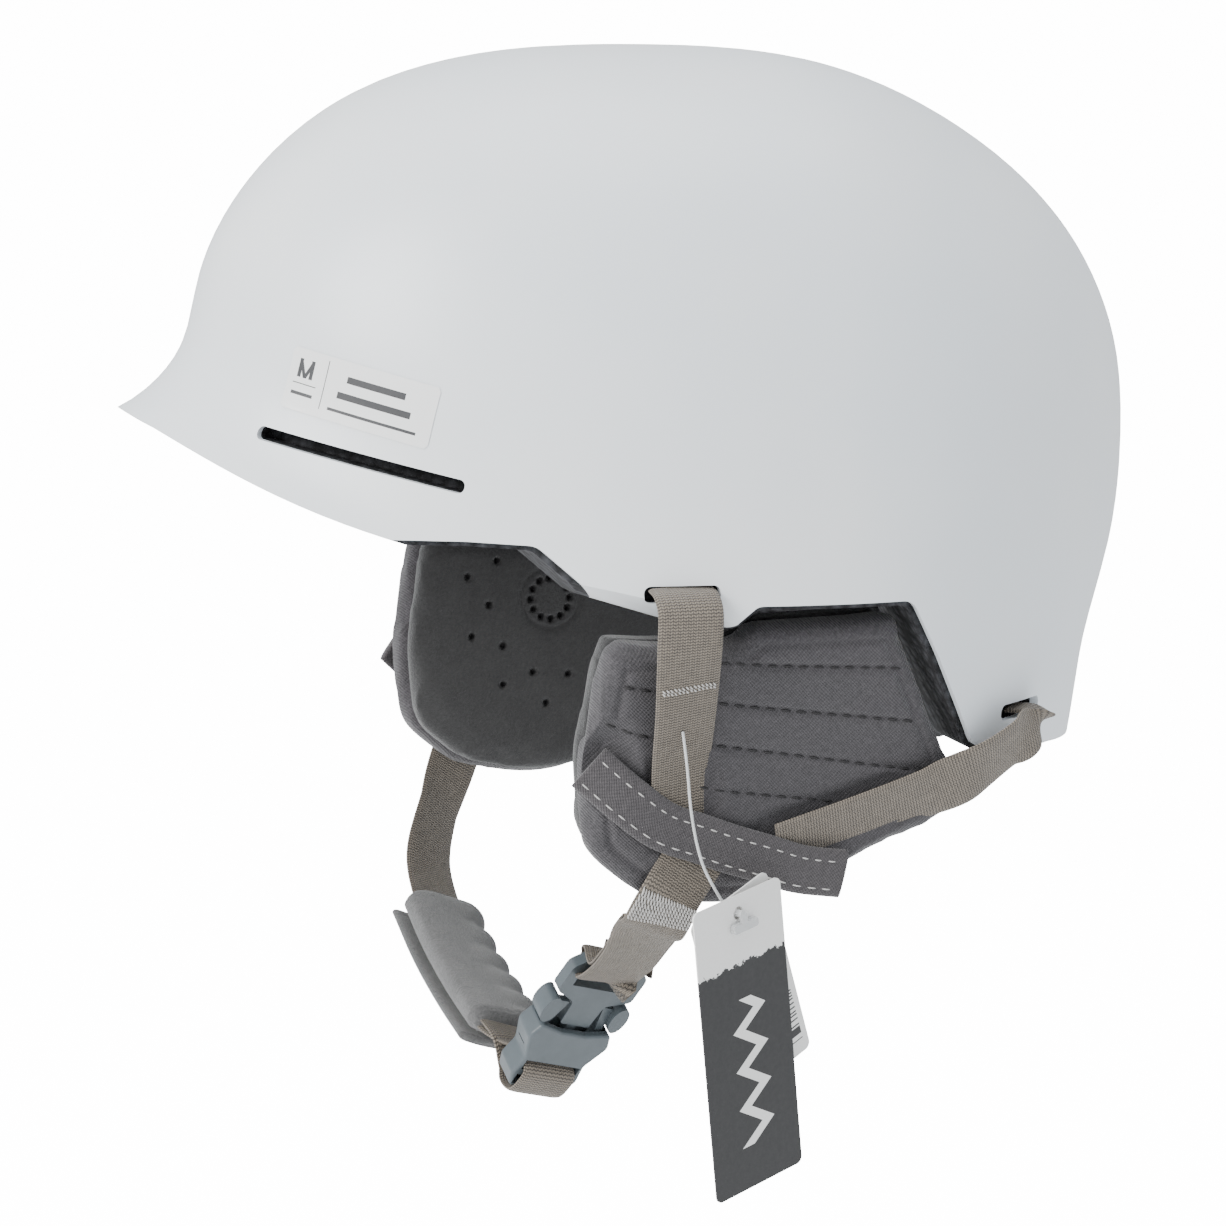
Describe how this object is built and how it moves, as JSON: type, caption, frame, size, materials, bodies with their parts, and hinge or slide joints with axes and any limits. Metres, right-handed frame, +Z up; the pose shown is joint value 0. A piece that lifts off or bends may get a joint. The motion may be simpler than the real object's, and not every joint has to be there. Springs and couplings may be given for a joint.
{
  "type": "ski helmet",
  "caption": "Hard-shell ski helmet with short brim, soft ear pads, nape cradle, side-release chin strap with fleece pad, and hang tag.",
  "frame": {"origin": "centre of the head opening, level with the tops of the ears", "axes": "+Z up along the head, -Y the front (brim), +X the wearer's left"},
  "size_m": [0.234, 0.2904, 0.3015],
  "materials": {
    "shell_plastic": "satin white moulded ABS",
    "liner_foam": "black expanded polystyrene foam",
    "black_plastic": "moulded nylon",
    "padding_cloth": "brushed knit over foam",
    "elastic": "woven elastic",
    "ear_twill": "grey twill over foam",
    "fleece": "dark brushed fleece",
    "fleece_grey": "grey brushed fleece",
    "webbing": "woven polyester webbing",
    "buckle_plastic": "moulded acetal, slate grey",
    "label_film": "printed film label",
    "filament": "clear nylon",
    "tag_card": "coated card"
  },
  "bodies": {
    "helmet": {"outer_shell": "shell_plastic", "eps_liner": "liner_foam", "front_strap_anchors": "black_plastic", "rear_strap_anchors": "black_plastic", "brow_pad": "padding_cloth", "crown_pad": "padding_cloth", "side_pad_left": "padding_cloth", "side_pad_right": "padding_cloth", "cradle_guides": "black_plastic", "elastic_band": "elastic", "size_sticker": "label_film", "front_strap_left": "webbing", "front_strap_right": "webbing", "rear_strap_left": "webbing", "rear_strap_right": "webbing"},
    "fit_cradle": {"fit_cradle": "black_plastic", "nape_pad": "padding_cloth"},
    "left_ear_flap": {"ear_pad_left": "ear_twill", "ear_lining_left": "fleece", "strap_sleeve_left": "ear_twill"},
    "right_ear_flap": {"ear_pad_right": "ear_twill", "ear_lining_right": "fleece", "strap_sleeve_right": "ear_twill"},
    "chin_strap": {"right_chin_strap": "webbing", "left_chin_strap": "webbing", "chin_pad": "fleece_grey", "chin_pad_flap": "fleece_grey", "buckle_socket": "buckle_plastic"},
    "buckle_tongue": {"buckle_tongue": "buckle_plastic"},
    "buckle_arm_front": {"buckle_arm_front": "buckle_plastic"},
    "buckle_arm_rear": {"buckle_arm_rear": "buckle_plastic"},
    "hang_tag": {"tag_filament": "filament", "tag_paddle": "filament", "tag_card_front": "tag_card", "tag_card_back": "tag_card"}
  },
  "joints": [
    {"name": "cradle_slide", "type": "slide", "parent": "helmet", "child": "fit_cradle", "axis": [0, 1, 0], "range_m": [0, 0.006], "stiffness_N_per_m": 300, "springref_m": -0.001, "deforming": ["elastic_band"]},
    {"name": "left_flap_flex", "type": "hinge", "parent": "helmet", "child": "left_ear_flap", "pos_m": [0.1015, 0, 0.0095], "axis": [0, -1, 0], "range_deg": [-2, 12], "stiffness_Nm_per_rad": 0.4, "deforming": ["front_strap_left", "rear_strap_left", "left_chin_strap"]},
    {"name": "right_flap_flex", "type": "hinge", "parent": "helmet", "child": "right_ear_flap", "pos_m": [-0.1015, 0, 0.0095], "axis": [0, 1, 0], "range_deg": [-2, 12], "stiffness_Nm_per_rad": 0.4, "deforming": ["front_strap_right", "rear_strap_right", "right_chin_strap"]},
    {"name": "strap_swing", "type": "hinge", "parent": "helmet", "child": "chin_strap", "pos_m": [0.094, -0.026, -0.065], "axis": [0.9996, 0.0266, 0.0106], "range_deg": [-35, 30], "deforming": ["left_chin_strap", "right_chin_strap"]},
    {"name": "buckle_release", "type": "slide", "parent": "chin_strap", "child": "buckle_tongue", "axis": [0.4491, 0.3851, 0.8063], "range_m": [0, 0.022], "deforming": ["left_chin_strap"]},
    {"name": "front_arm_squeeze", "type": "hinge", "parent": "buckle_tongue", "child": "buckle_arm_front", "pos_m": [0.03282, -0.03628, -0.11006], "axis": [-0.8536, -0.0817, 0.5144], "range_deg": [0, 6], "stiffness_Nm_per_rad": 0.02},
    {"name": "rear_arm_squeeze", "type": "hinge", "parent": "buckle_tongue", "child": "buckle_arm_rear", "pos_m": [0.02881, -0.02231, -0.1145], "axis": [0.8536, 0.0817, -0.5144], "range_deg": [0, 6], "stiffness_Nm_per_rad": 0.02},
    {"name": "tag_swing", "type": "hinge", "parent": "left_ear_flap", "child": "hang_tag", "pos_m": [0.1045, -0.0263, -0.0205], "axis": [1, 0, 0], "range_deg": [-20, 20]}
  ],
  "couplings": [
    {"joint": "rear_arm_squeeze", "follows": "front_arm_squeeze", "ratio": 1}
  ]
}
